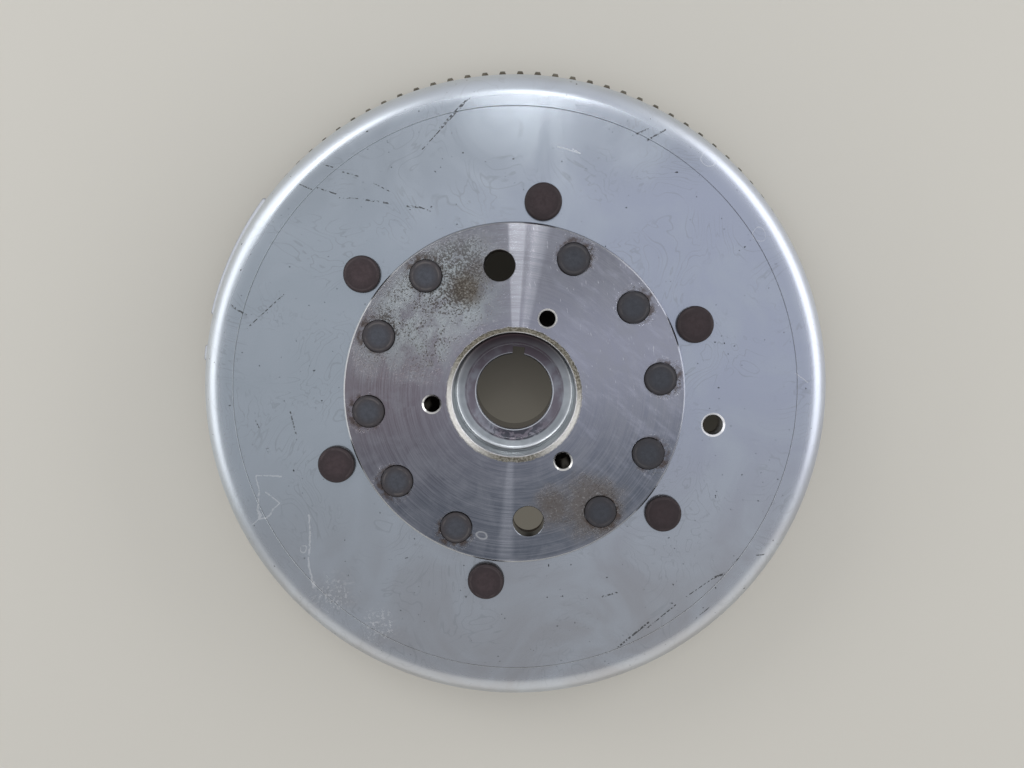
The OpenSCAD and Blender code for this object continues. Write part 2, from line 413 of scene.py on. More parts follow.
    def bump(self, height, high, normal=None):
        """Surface normal for a height of 0 to 1 that stands for high mm."""
        node = self.add("Bump")
        self.constants(node, Strength=1.0, Distance=high * MM)
        self.link(height, node.inputs["Height"])
        if normal is not None:
            self.link(normal, node.inputs["Normal"])
        return node.outputs[0]

    def brush_round(self, amount):
        """Stretches highlights across tool marks that run round the crank axis."""
        tangent = self.add("Tangent")
        tangent.direction_type = "RADIAL"
        tangent.axis = "Z"
        self.set(Anisotropic=amount, Anisotropic_Rotation=0.25, Tangent=tangent.outputs[0])


# ------------------------------------------------------------------ materials

# lines between two (radius, degrees) places, with their width
BLACK_RUBS = [((122, 92), (107, 104), 0.35), ((121, 93), (113, 99), 0.5), ((115, 121), (110, 119), 0.35),
              ((117, 127), (110, 125), 0.4), ((108, 125), (103, 122), 0.35), ((101, 121), (93, 116), 0.5),
              ((89, 113), (86, 110), 0.6), ((86, 110), (83, 108), 0.35), ((104, 117), (98, 115), 0.3),
              ((123, 129), (118, 128), 0.35), ((122, 123), (119, 122), 0.35), ((123, 156), (116, 157), 0.6),
              ((115, 160), (104, 150), 0.35), ((116, 59), (121, 57), 0.45), ((117, 56), (124, 54), 0.5),
              ((94, 178), (93, 184), 0.45), ((109, 179), (108, 181), 0.4), ((106, 186), (106, 187), 0.6),
              ((94, -73), (95, -69), 0.5), ((113, -56), (115, -49), 0.3), ((115, -49), (117, -47), 0.7),
              ((117, -44), (118, -42), 0.4), ((117, -74), (113, -66), 0.6), ((115, -67), (113, -59), 0.4),
              ((123, -58), (123, -54), 0.3), ((123, -40), (126, -39), 0.35)]
WHITE_DRIPS = [((101, 204), (118, 217), 0.6), ((117.5, 217), (118.5, 217.5), 1.3),
               ((114, 191), (104, 193), 0.35), ((114, 191), (116, 195), 0.4), ((116, 195), (120, 200), 0.5),
               ((120, 200), (110, 198), 0.45), ((110, 198), (113, 195), 0.4), ((120, 200), (125, 200), 0.3),
               ((103, 74), (102, 68), 0.25), ((103, 70), (102, 68), 0.3), ((117, -2), (122, -4), 0.3)]
# small circles: (radius, degrees) place, size and width
DRIED_RINGS = [((111, 210), 1.6, 0.5), ((125, 44), 3.2, 0.35), ((120, 27), 2.6, 0.3)]
# painted highlight streaks on the hub's face: first and last direction, softness and strength
PAINTED_STREAK_WEDGES = [(79.5, 85.5, 0.7, 0.45), (71.5, 77.0, 1.4, 0.26), (-102, -97, 1.6, 0.2)]


def drum_marks(s):
    """Black rubs, and white drips, rings and splashes, as two masks."""
    dashes = s.span(s.noise(0.9, detail=2), 0.44, 0.53)
    rubs = s.times(s.most(*[s.stroke(*mark, s.flat) for mark in BLACK_RUBS]), dashes)
    lines = [s.stroke(*mark, s.wavy) for mark in WHITE_DRIPS]
    rings = [s.ring(*mark) for mark in DRIED_RINGS]
    drips = s.times(s.most(*lines, *rings), s.span(s.noise(0.5), 0.25, 0.5))
    splash = s.most(s.spot(-86, -76, 3, 13, 10, 0.3), s.spot(-68, -92, 3, 11, 10, 0.3))
    haze = s.times(splash, s.span(s.noise(0.7, detail=5, rough=0.7), 0.51, 0.60))
    return rubs, s.times(s.most(drips, haze), 0.32)


def drum_bare_colour(s, clouds, shoulder):
    """Blue grey steel with clouds and dried edges; painted light and shade make it lighter on the left,
    greyer in front and darker behind, and a painted highlight makes the shoulder brighter.
    """
    swirls = s.math("FRACT", s.times(s.noise(0.026, detail=3, rough=0.45, twist=2.2), 13.0))
    edges = s.times(s.band(swirls, 0.44, 0.56, 0.05), s.span(s.noise(0.05, detail=2), 0.40, 0.6))
    # painted light and shade: lighter on the left, darker and greyer towards -Y, darker towards +Y
    colour = s.blend(s.span(s.x, -90, 90), (0.50, 0.555, 0.60), (0.47, 0.505, 0.605))
    colour = s.blend(s.span(s.y, 5, -110), colour, (0.425, 0.43, 0.445))
    colour = s.blend(s.span(s.y, 70, 105, 0, 0.6), colour, (0.38, 0.415, 0.445))
    colour = s.blend(s.span(clouds, 0.34, 0.68, 0, 0.5), colour, (0.53, 0.58, 0.63))
    colour = s.blend(s.times(edges, 0.28), colour, (0.29, 0.31, 0.32))
    # painted highlight: a paler shoulder, strongest towards +Y
    brighter = s.times(shoulder, s.span(s.y, -60, 20, 0.06, 0.4))
    return s.blend(brighter, colour, (0.80, 0.83, 0.88))


def paint_bar_shade(s, colour, flank):
    """Painted shade on the trigger bars: darker flanks, darker still along their upper foot and on their
    outer side.
    """
    outside = DRUM_R + BAR_HIGH
    foot = s.times(s.band(s.radius, DRUM_R + 0.1, DRUM_R + 0.8, 0.15), s.span(s.z, BAR_Z, BAR_Z + 2))
    side = s.span(s.radius, outside - 0.8, outside - 0.5)
    colour = s.blend(s.times(flank, 0.8), colour, (0.38, 0.395, 0.43))
    return s.blend(s.times(s.most(foot, side), 0.75), colour, (0.14, 0.135, 0.135))


def drum_steel():
    """Satin drawn steel: stained, rubbed face, scribed ring; painted light and shade on face, ring, shoulder
    and trigger bars.
    """
    s = Shader("drum_steel")
    clouds = s.noise(0.022, detail=4, rough=0.55, twist=1.4)
    shoulder = s.span(s.radius, SCRIBE_R + 2, DRUM_R - 5)
    flank = s.span(s.radius, DRUM_R + 0.5, DRUM_R + 1.5)
    rubs, white = drum_marks(s)
    colour = drum_bare_colour(s, clouds, shoulder)
    on_ring = s.band(s.radius, SCRIBE_R - SCRIBE_HALF, SCRIBE_R + SCRIBE_HALF, 0.08)
    groove = s.times(on_ring, s.span(s.z, FLOOR_Z + 0.3, FLOOR_Z + 2.3))
    # painted shade: the scribed ring darkened, least towards +Y
    colour = s.blend(s.times(groove, s.span(s.facing(90, 70), 0, 1, 0.4, 0.1)), colour, (0.10, 0.095, 0.09))
    # painted shade on the trigger bars
    colour = paint_bar_shade(s, colour, flank)
    colour = s.blend(white, colour, (0.78, 0.78, 0.78))
    colour = s.blend(s.times(rubs, 0.9), colour, (0.02, 0.021, 0.023))
    specks = s.span(s.noise(0.85, detail=1, rough=0.2), 0.80, 0.82)
    colour = s.blend(specks, colour, (0.03, 0.03, 0.03))
    # painted highlight: the chamfer of the drum's hole pale and less metallic
    hole_edge = s.spot(*polar(*DRUM_HOLE), DRUM_HOLE_R + 0.7, DRUM_HOLE_R + 0.85)
    hole_edge = s.times(hole_edge, s.span(s.z, FACE_Z - 0.8, FACE_Z - 0.7))
    colour = s.blend(hole_edge, colour, (0.86, 0.86, 0.88))
    rough = s.math("ADD", s.span(clouds, 0.3, 0.7, 0.18, 0.235), s.times(s.most(rubs, white, groove), 0.3))
    rough = s.math("ADD", rough, s.math("ADD", s.times(shoulder, 0.18), s.times(flank, 0.12)))
    metal = s.span(s.most(rubs, white, hole_edge), 0, 1, 0.92, 0.3)
    s.set(Base_Color=colour, Metallic=metal, Roughness=rough)
    s.set(Normal=s.bump(s.noise(0.03, detail=2), 0.12, s.bump(s.noise(0.6, detail=2), 0.003)))
    return s.material


def hub_bare_colour(s, face, marks, mottle):
    """Bare face: purple brown on the left, lavender on the right; painted shade above and dark blue below,
    painted highlight streaks in wedges.
    """
    colour = s.blend(s.span(s.x, -62, 30), (0.25, 0.205, 0.225), (0.425, 0.435, 0.515))
    # painted shade: the face darker towards +Y, and darker and bluer towards -Y
    colour = s.blend(s.span(s.y, 15, 55, 0, 0.75), colour, (0.215, 0.215, 0.235))
    colour = s.blend(s.span(s.y, 15, -50, 0, 0.9), colour, (0.125, 0.145, 0.175))
    colour = s.blend(s.span(mottle, 0.40, 0.72, 0, 0.35), colour, (0.40, 0.41, 0.44))
    colour = s.blend(s.span(marks, 0.35, 0.65, 0, 0.35), colour, (0.44, 0.44, 0.48))
    # painted highlight: pale streaks in fixed wedges, where the lights' streaks fall on the turned face
    wedges = [s.times(s.wedge(start, end, soft), weight) for start, end, soft, weight in PAINTED_STREAK_WEDGES]
    painted_streaks = s.times(s.most(*wedges), face, s.span(marks, 0.3, 0.6, 0.6, 1.0))
    return s.blend(painted_streaks, colour, (0.80, 0.81, 0.86))


def add_smears(s, colour, face):
    """Pale smears and fine scratches on the right of the face."""
    slanted = s.join(s.math("ADD", s.times(s.x, 0.35), s.times(s.y, -0.3)), s.math("ADD", s.x, s.y), 0.0)
    smears = s.span(s.noise(0.14, detail=5, rough=0.65, where=slanted), 0.47, 0.68)
    colour = s.blend(s.times(smears, s.facing(10, 75), face, 0.4), colour, (0.56, 0.57, 0.66))
    across = s.join(s.times(s.x, 5.0), s.math("ADD", s.y, s.times(s.x, 0.6)), 0.0)
    scratches = s.span(s.noise(0.2, detail=3, rough=0.6, where=across), 0.65, 0.70)
    return s.blend(s.times(scratches, s.facing(35, 70), face, 0.6), colour, (0.74, 0.74, 0.78))


def hub_pits(s, grit, corner, lower):
    """Pits, crowded in the upper left, at the lower right and round the rivets."""
    dense = s.most(s.spot(*polar(59, 110), 7, 23, 8, 0.1), s.spot(*polar(62, 146), 2, 12, 6, 0.2))
    crowd = s.math("ADD", s.span(s.noise(0.07, detail=3), 0.38, 0.62, -0.04, 0.015), s.times(dense, 0.09))
    near_rivets = s.most(*[s.spot(*polar(INNER_CIRCLE + 2, a), 6.5, 10, 3, 0.4) for a in HUB_RIVETS])
    pits = s.span(s.math("ADD", grit, crowd), 0.545, 0.595)
    return s.times(pits, s.most(s.times(corner, 0.95), s.times(near_rivets, 0.75), s.times(lower, 0.7)))


def add_stains(s, colour, face, lower):
    """Brown stains in the upper left and at the lower right, and dirt round the rivets."""
    brown = s.most(s.spot(*polar(48, 108), 3, 10, 6, 0.2), s.times(s.spot(*polar(52, 99), 3, 9, 6, 0.2), 0.5))
    colour = s.blend(s.times(brown, face, 0.85), colour, (0.13, 0.105, 0.075))
    colour = s.blend(s.times(lower, face, 0.75), colour, (0.165, 0.14, 0.12))
    dirt = s.most(*[s.spot(*polar(INNER_CIRCLE + 1.4, a), 6.6, 8.8, 3.2, 0.5) for a in HUB_RIVETS])
    return s.blend(s.times(dirt, face, s.span(s.noise(0.3), 0.40, 0.6), 0.8), colour, (0.11, 0.08, 0.065))


def add_hub_edges(s, colour, face, rim):
    """Painted highlights: a bright rim of the face and bright chamfers of the tapped holes."""
    colour = s.blend(s.times(rim, s.span(s.facing(200, 120), 0, 1, 0.25, 0.6)), colour, (0.74, 0.73, 0.70))
    tapped = [s.spot(*polar(PULLER_CIRCLE, a), PULLER_R + 0.75, PULLER_R + 0.9) for a in PULLER_HOLES]
    sloping = s.times(s.span(s.z, HUB_TOP - 0.9, HUB_TOP - 0.8), s.span(face, 0.9, 1, 1, 0))
    return s.blend(s.times(s.most(*tapped), sloping, 0.9), colour, (0.86, 0.85, 0.82))


def gold_colour(s):
    """Golden chamfer of the recess mouth, with painted highlights at its sides."""
    worn = s.span(s.noise(1.1, detail=4, rough=0.7), 0.38, 0.66)
    gold = s.blend(worn, (0.13, 0.118, 0.09), (0.42, 0.40, 0.345))
    painted_side_highlight = s.most(s.facing(195, 60), s.facing(-40, 45))
    return s.blend(s.times(painted_side_highlight, 0.7), gold, (0.72, 0.71, 0.69))


def recess_colour(s):
    """Recess: bare steel, purple on the washer seat, darker up its wall, painted shade towards the top and a
    painted highlight round the bore.
    """
    steel = s.blend(s.span(s.noise(0.1, detail=3), 0.4, 0.65), (0.46, 0.49, 0.51), (0.60, 0.63, 0.65))
    steel = s.blend(s.span(s.z, RECESS_Z + 1, RECESS_Z + 6, 0, 0.75), steel, (0.36, 0.385, 0.385))
    purple = s.blend(s.span(s.noise(0.14, detail=3), 0.4, 0.65), (0.23, 0.205, 0.235), (0.36, 0.37, 0.41))
    oily = s.times(s.facing(-95, 55), s.span(s.noise(0.22, detail=4, twist=1.5), 0.47, 0.53))
    purple = s.blend(s.times(oily, 0.8), purple, (0.06, 0.065, 0.08))
    steel = s.blend(s.span(s.radius, SEAT_R + 0.6, SEAT_R + 1.1, 1, 0), steel, purple)
    # painted shade on the upper side of the recess
    upper = s.times(s.facing(88, 100), s.span(s.radius, TAPER_R + 1, RECESS_R - 1, 0.65, 0.98))
    steel = s.blend(upper, steel, (0.040, 0.025, 0.030))
    seat_line = s.band(s.radius, SEAT_R - 0.1, SEAT_R + 0.2, 0.12)
    steel = s.blend(s.times(seat_line, 0.45), steel, (0.50, 0.49, 0.51))
    # painted highlight round the bore, strongest towards +Y
    bore_edge = s.span(s.radius, TAPER_R + 0.7, TAPER_R + 0.9, 1, 0)
    bore_line = s.times(bore_edge, s.span(s.facing(90, 110), 0, 1, 1, 0.3))
    return s.blend(bore_line, steel, (0.90, 0.92, 0.96))


def add_recess(s, colour):
    """Recess with its golden mouth and a painted highlight on its lip: the colour, and the masks of mouth and
    recess.
    """
    uneven = s.times(s.math("SUBTRACT", s.noise(0.45, detail=5, rough=0.7), 0.5), 1.8)
    ragged = s.band(s.math("ADD", s.radius, uneven), RECESS_R + 0.1, MOUTH_R + 0.2, 0.3)
    mouth = s.times(ragged, s.span(s.z, MOUTH_Z - 0.6, MOUTH_Z))
    colour = s.blend(mouth, colour, gold_colour(s))
    deep = s.times(s.span(s.z, MOUTH_Z, MOUTH_Z + 0.3, 1, 0), s.span(s.z, RECESS_Z - 0.8, RECESS_Z - 0.6))
    inside = s.times(s.span(s.radius, RECESS_R + 0.1, RECESS_R + 0.3, 1, 0), deep)
    colour = s.blend(inside, colour, recess_colour(s))
    # painted highlight on the lip of the recess
    lip = s.band(s.radius, RECESS_R - 0.05, RECESS_R + 0.35, 0.1)
    lip = s.times(lip, s.span(s.z, MOUTH_Z - 0.9, MOUTH_Z - 0.7), 0.85)
    return s.blend(lip, colour, (0.85, 0.85, 0.86)), mouth, inside


def hub_steel():
    """Turned steel: painted highlight streaks, pits and stains on the face, a golden recess mouth with
    painted highlights, and a back darkened as painted shade.
    """
    s = Shader("hub_steel")
    face = s.span(s.z, HUB_TOP - 0.25, HUB_TOP - 0.1)
    rim = s.span(s.radius, HUB_R - 0.75, HUB_R - 0.55)
    marks = s.turned(2.2)
    mottle = s.noise(0.09, detail=4, rough=0.6, twist=0.8)
    grit = s.noise(1.1, detail=4, rough=0.75)
    corner = s.times(s.facing(128, 46), s.band(s.radius, 32, 68, 7))
    lower = s.most(s.spot(*polar(57, -62), 6, 19, 12, 0.15), s.spot(*polar(50, -77), 3, 13, 9, 0.2))
    bloom = s.times(corner, s.span(mottle, 0.25, 0.6), face)
    pitted = s.times(hub_pits(s, grit, corner, lower), face)
    pale_grit = s.times(s.span(grit, 0.36, 0.42, 1, 0), s.most(corner, lower), face, 0.5)
    dried_ring = s.times(s.ring((61, -109), 1.5, 0.6), face, 0.7)

    colour = add_smears(s, hub_bare_colour(s, face, marks, mottle), face)
    colour = s.blend(s.times(bloom, 0.62), colour, (0.42, 0.475, 0.48))
    colour = add_stains(s, colour, face, lower)
    colour = s.blend(pale_grit, colour, (0.60, 0.60, 0.58))
    colour = s.blend(s.times(pitted, 0.9), colour, (0.055, 0.043, 0.035))
    colour = s.blend(dried_ring, colour, (0.62, 0.62, 0.62))
    colour = add_hub_edges(s, colour, face, rim)
    colour, mouth, inside = add_recess(s, colour)
    # painted shade: the hub darker below the recess floor, in its bore and on its back
    behind = s.span(s.z, RECESS_Z - 1.2, RECESS_Z - 0.9, 1, 0)
    colour = s.blend(s.times(behind, 0.6), colour, (0.20, 0.18, 0.165))

    rough = s.math("ADD", s.span(marks, 0.3, 0.7, 0.135, 0.19), s.times(s.most(rim, inside), 0.14))
    dull = s.most(pitted, mouth, s.times(bloom, 0.4), s.times(lower, face, 0.5))
    metal = s.span(s.most(pitted, s.times(bloom, 0.5)), 0, 1, 1.0, 0.4)
    s.set(Base_Color=colour, Metallic=metal, Roughness=s.math("ADD", rough, s.times(dull, 0.3)))
    s.brush_round(face)
    hollows = s.most(pitted, s.times(mouth, s.noise(1.0, detail=4)))
    s.set(Normal=s.bump(hollows, 0.12, s.bump(s.times(marks, face), 0.004)))
    return s.material


def dimmed(colour, part):
    """A darker shade of a colour."""
    return tuple(channel * part for channel in colour)


def worn_metal(name, dark, light, rough, scale, rust=None, specks=0.0):
    """Metal in two tones with a light bump, optional rust patches and dark specks."""
    s = Shader(name)
    patches = s.noise(scale, detail=5, rough=0.6)
    colour = s.blend(s.span(patches, 0.32, 0.68), dark, light)
    if rust:
        colour = s.blend(s.span(s.noise(scale * 0.6, detail=5, rough=0.7), 0.50, 0.66), colour, rust)
    if specks:
        spots = s.span(s.noise(scale * 5, detail=2), 0.62, 0.68, 0, specks)
        colour = s.blend(spots, colour, (0.02, 0.018, 0.016))
    s.set(Base_Color=colour, Metallic=0.85, Roughness=s.span(patches, 0.3, 0.7, rough - 0.07, rough + 0.07))
    s.set(Normal=s.bump(s.noise(scale * 4, detail=4), 0.03))
    return s.material


def rivet_steel(name, circle, directions, head, dark, light, rim):
    """Oxidised rivet heads: a lighter middle, a browner ring near the edge and dark sides."""
    s = Shader(name)
    patches = s.noise(0.5, detail=5, rough=0.7)
    rings = [s.vector("LENGTH", s.vector("SUBTRACT", s.flat, (*polar(circle, a), 0))) for a in directions]
    near = rings[0]
    for ring in rings[1:]:
        near = s.math("MINIMUM", near, ring)
    colour = s.blend(s.span(near, head * 0.35, head * 0.9), light, dark)
    colour = s.blend(s.span(patches, 0.32, 0.68, 0, 0.55), colour, dimmed(light, 0.55))
    edge = s.times(s.band(near, head - 1.5, head - 1.0, 0.3), s.span(s.noise(0.25, detail=3), 0.42, 0.6))
    colour = s.blend(s.times(edge, 0.55), colour, rim)
    colour = s.blend(s.span(s.x, -45, 30, 0, 0.5), colour, dimmed(light, 0.4))
    colour = s.blend(s.span(near, head - 0.7, head - 0.1, 0, 0.75), colour, dimmed(dark, 0.35))
    s.set(Base_Color=colour, Metallic=0.6, Roughness=s.span(patches, 0.3, 0.7, 0.46, 0.62))
    s.set(Normal=s.bump(s.noise(0.25, detail=3), 0.25, s.bump(s.noise(1.8, detail=4), 0.03)))
    return s.material


def gear_steel():
    """Ring gear: brown oiled sides with bare worn tooth tips."""
    s = Shader("gear_steel")
    patches = s.noise(0.15, detail=5, rough=0.65)
    colour = s.blend(s.span(patches, 0.32, 0.68), (0.060, 0.052, 0.038), (0.15, 0.135, 0.105))
    tips = s.span(s.radius, PITCH_R + 1.6, PITCH_R + 2.5)
    colour = s.blend(s.times(tips, 0.3), colour, (0.30, 0.285, 0.24))
    s.set(Base_Color=colour, Metallic=0.85, Roughness=s.span(patches, 0.3, 0.7, 0.38, 0.52))
    s.set(Normal=s.bump(s.noise(0.8, detail=4), 0.03))
    return s.material


def cage_plastic():
    """Dark moulded plastic, slightly mottled, with a fine grain."""
    s = Shader("cage_plastic")
    grain = s.noise(1.4, detail=3)
    colour = s.blend(s.span(s.noise(0.08, detail=3), 0.4, 0.65), (0.020, 0.022, 0.022), (0.045, 0.045, 0.043))
    s.set(Base_Color=colour, Metallic=0.0, Roughness=s.span(grain, 0.3, 0.7, 0.42, 0.55))
    s.set(Normal=s.bump(grain, 0.02))
    return s.material


MATERIALS = {
    "drum_steel": drum_steel(),
    "hub_steel": hub_steel(),
    "plate_steel": worn_metal("plate_steel", dark=(0.16, 0.15, 0.15), light=(0.30, 0.29, 0.28), rough=0.42,
                              scale=0.06, rust=(0.16, 0.11, 0.08), specks=0.5),
    "gear_steel": gear_steel(),
    "hub_rivet_steel": rivet_steel("hub_rivet_steel", INNER_CIRCLE, HUB_RIVETS, HUB_HEAD_R,
                                   dark=(0.070, 0.061, 0.063), light=(0.085, 0.090, 0.106),
                                   rim=(0.18, 0.165, 0.155)),
    "drum_rivet_steel": rivet_steel("drum_rivet_steel", OUTER_CIRCLE, DRUM_RIVETS, DRUM_HEAD_R,
                                    dark=(0.047, 0.036, 0.038), light=(0.072, 0.052, 0.055),
                                    rim=(0.110, 0.088, 0.088)),
    "magnet_ferrite": worn_metal("magnet_ferrite", dark=(0.050, 0.050, 0.054), light=(0.095, 0.095, 0.10),
                                 rough=0.5, scale=0.12, specks=0.4),
    "cage_plastic": cage_plastic(),
}

# ------------------------------------------------------------------ drum


def bar_lift(degrees, z):
    """How far the wall stands out at a place, for the long bar and the short boss."""
    lifts = []
    for start, end in (LONG_BAR, SHORT_BAR):
        along = abs(degrees - (start + end) / 2) - (end - start) / 2
        off = max(0, math.radians(along) * DRUM_R + BAR_CORNER)
        away = math.hypot(off, max(0, abs(z - BAR_Z) - BAR_HALF + BAR_CORNER))
        lifts.append(BAR_HIGH * (1 - smoothstep(BAR_CORNER - BAR_SLOPE, BAR_CORNER, away)))
    return max(lifts)


def wall_levels(edge):
    """Heights down the outer wall, close together where the trigger bars are."""
    reach, step = 7.5, 0.3
    count = round(2 * reach / step)
    fine = [BAR_Z + reach - step * i for i in range(count + 1)]
    return [SHOULDER_Z - 1] + fine + [GEAR_Z1 - 0.5, edge + 0.5, edge]


def drum_section():
    """Half section of the drum; its wall leans in by DRAFT from the ring gear up to the shoulder."""
    centre = DRUM_R - DRAFT - SHOULDER_R
    inner = DRUM_R - WALL
    edge, groove = 0.8, 0.2
    inside_ring = (HUB_R + 0.3, HUB_R + 1.5, 90, 110, SCRIBE_R - 0.5, SCRIBE_R - SCRIBE_HALF)
    outside_ring = (SCRIBE_R + SCRIBE_HALF, SCRIBE_R + 0.5, centre - 1)
    section = [(HUB_R + 0.1, FLOOR_Z), (HUB_R + 0.1, FACE_Z - 0.2)] + [(r, FACE_Z) for r in inside_ring]
    section += [(SCRIBE_R, FACE_Z - groove)] + [(r, FACE_Z) for r in outside_ring]
    section += arc((centre, SHOULDER_Z), SHOULDER_R, 90, 0, 24)
    section += [(DRUM_R - DRAFT * smoothstep(GEAR_Z1, SHOULDER_Z, z), z) for z in wall_levels(edge)]
    section += [(DRUM_R - edge, 0), (inner + edge, 0), (inner, edge), (inner, 20), (inner, SHOULDER_Z - 1)]
    section += arc((centre, SHOULDER_Z), SHOULDER_R - WALL, 0, 90, 8)
    return section + [(centre - 1, FLOOR_Z), (90, FLOOR_Z)]


def make_drum():
    """The pressed drum and its wall as one mesh, with raised trigger bars and a chamfered hole."""
    parts = 4
    coarse = [a for a in range(360) if not BARS_FROM < a < BARS_TO]
    fine = [BARS_FROM + i / parts for i in range(1, parts * (BARS_TO - BARS_FROM))]
    section = drum_section()
    outside = DRUM_R - DRAFT - 0.01
    rings = []
    for a in sorted(coarse + fine):
        lifted = [(r + bar_lift(a, z) if r > outside else r, z) for r, z in section]
        rings.append([(*polar(r, a), z) for r, z in lifted])
    bm = bmesh.new()
    skin(bm, rings)
    piece = to_object("drum", bm)
    holes = bmesh.new()
    add_drills(holes, OUTER_CIRCLE, DRUM_RIVETS, [(SHANK_R, FLOOR_Z - 1), (SHANK_R, FACE_Z + 1)])
    add_drills(holes, DRUM_HOLE[0], [DRUM_HOLE[1]], drill_steps(DRUM_HOLE_R, FLOOR_Z - 1, FACE_Z, 0.7))
    cut(piece, holes)
    finish_piece(piece, MATERIALS["drum_steel"], "drum_steel", "drum", "drum_wall")


# ------------------------------------------------------------------ hub and back plate


def hub_section():
    """Half section of the hub: bore, washer seat, recess, face, flange, boss and neck."""
    fillet, edge, round_r = 2.3, 0.6, 1.5
    bottom_r = TAPER_R + (RECESS_Z - NECK_Z) / 20
    section = [(bottom_r, NECK_Z), (TAPER_R + 0.05, RECESS_Z - 0.8), (TAPER_R + 0.5, RECESS_Z - 0.3)]
    section += [(SEAT_R - 0.3, RECESS_Z - 0.3), (SEAT_R, RECESS_Z - 0.2), (SEAT_R + 0.15, RECESS_Z)]
    section += [(RECESS_R - fillet - 0.5, RECESS_Z)]
    section += arc((RECESS_R - fillet, RECESS_Z + fillet), fillet, -90, 0, 10)
    section += [(RECESS_R, RECESS_Z + 3), (RECESS_R, MOUTH_Z - 0.4), (RECESS_R, MOUTH_Z)]
    section += [(r, HUB_TOP) for r in (MOUTH_R, MOUTH_R + 0.5, HUB_R - edge - 0.5, HUB_R - edge)]
    section += [(HUB_R, HUB_TOP - edge), (HUB_R, FLOOR_Z), (BOSS_R, FLOOR_Z)]
    section += [(BOSS_R, BOSS_Z + 1), (BOSS_R - 1, BOSS_Z), (NECK_R + round_r, BOSS_Z)]
    section += arc((NECK_R + round_r, BOSS_Z - round_r), round_r, 90, 180, 5)
    return section + [(NECK_R, NECK_Z + 1), (NECK_R - 1, NECK_Z)]


def rivet_seat():
    """Cutter for a rivet let into the hub's face, with a small chamfer."""
    shank, head = SHANK_R + 0.05, HUB_HEAD_R + 0.1
    steps = [(shank, FLOOR_Z - 1), (shank, RIVET_SEAT_Z), (head, RIVET_SEAT_Z + 0.05)]
    return steps + [(head, HUB_TOP - 0.15), (head + 0.15, HUB_TOP), (head + 0.65, HUB_TOP + 0.5)]


def make_hub():
    """The turned hub and its boss as one mesh, with its keyway, holes and rivet seats."""
    bm = bmesh.new()
    add_lathe(bm, hub_section(), turns(180))
    piece = to_object("hub", bm)
    holes = bmesh.new()
    key_low, key_high = (0, -KEY_HALF, NECK_Z - 1), (TAPER_R + KEY_REACH, KEY_HALF, RECESS_Z + 1)
    add_box(holes, key_low, key_high, KEY_ANGLE)
    add_drills(holes, PULLER_CIRCLE, PULLER_HOLES, drill_steps(PULLER_R, BOSS_Z - 1, HUB_TOP, 0.8))
    add_drills(holes, THROUGH_CIRCLE, THROUGH_HOLES, drill_steps(THROUGH_R, FLOOR_Z - 1, HUB_TOP, 0.25))
    add_drills(holes, INNER_CIRCLE, HUB_RIVETS, rivet_seat())
    cut(piece, holes)
    finish_piece(piece, MATERIALS["hub_steel"], "hub_steel", "hub", "hub_boss")


def make_back_plate():
    """Flat ring behind the drum's floor, with the holes of both rivet circles."""
    edge = 0.4
    section = [(PLATE_HOLE_R, PLATE_Z + edge), (PLATE_HOLE_R, FLOOR_Z), (PLATE_R, FLOOR_Z)]
    section += [(PLATE_R, PLATE_Z + edge), (PLATE_R - edge, PLATE_Z), (PLATE_HOLE_R + edge, PLATE_Z)]
    bm = bmesh.new()
    add_lathe(bm, section, turns(180))
    piece = to_object("back_plate", bm)
    holes = bmesh.new()
    for circle, directions, radius in ((INNER_CIRCLE, HUB_RIVETS, SHANK_R),
                                       (OUTER_CIRCLE, DRUM_RIVETS, SHANK_R),
                                       (THROUGH_CIRCLE, THROUGH_HOLES, THROUGH_R),
                                       (DRUM_HOLE[0], [DRUM_HOLE[1]], DRUM_HOLE_R)):
        add_drills(holes, circle, directions, [(radius, PLATE_Z - 1), (radius, FLOOR_Z + 1)])
    cut(piece, holes)
    finish_piece(piece, MATERIALS["plate_steel"], "plate_steel", "back_plate")


# ------------------------------------------------------------------ ring gear


def tooth_side(steps=6):
    """(radius, half angle) up one involute flank, from root to tip, for a 20 degree gear."""
    base = PITCH_R * math.cos(math.radians(20))
    root, tip = PITCH_R - 1.25 * MODULE, PITCH_R + MODULE

    def roll(radius):
        a = math.acos(min(1, base / radius))
        return math.tan(a) - a

    at_pitch = math.pi / 2 / TEETH
    radii = [root + (tip - root) * i / steps for i in range(steps + 1)]
    return [(r, at_pitch + roll(PITCH_R) - roll(r)) for r in radii]


def gear_outline():
    """(radius, angle) points round the gear, tooth by tooth, with a rounded root."""
    side = tooth_side()
    root_r, tip_r = side[0][0], side[-1][0]
    first = math.radians(-1)
    points = []
    for turn in turns(TEETH):
        middle = first + turn
        points += [(r, middle - half) for r, half in side] + [(tip_r, middle)]
        points += [(r, middle + half) for r, half in reversed(side)]
        points.append((root_r - 0.15, middle + math.pi / TEETH))
    return points


def make_ring_gear():
    """Ring gear with its teeth relieved at both ends."""
    outline = gear_outline()
    tip = max(r for r, _ in outline)
    bore = DRUM_R + 0.02
    rear, front = 1.2, 0.35
    levels = [(GEAR_Z0, bore), (GEAR_Z0, tip - rear), (GEAR_Z0 + rear, tip)]
    levels += [(GEAR_Z1 - front, tip), (GEAR_Z1, tip - front), (GEAR_Z1, bore)]
    bm = bmesh.new()
    skin(bm, [[at_angle(min(r, limit), a, z) for r, a in outline] for z, limit in levels])
    finish_piece(to_object("ring_gear", bm), MATERIALS["gear_steel"], "gear_steel", "ring_gear")


# ------------------------------------------------------------------ rivets


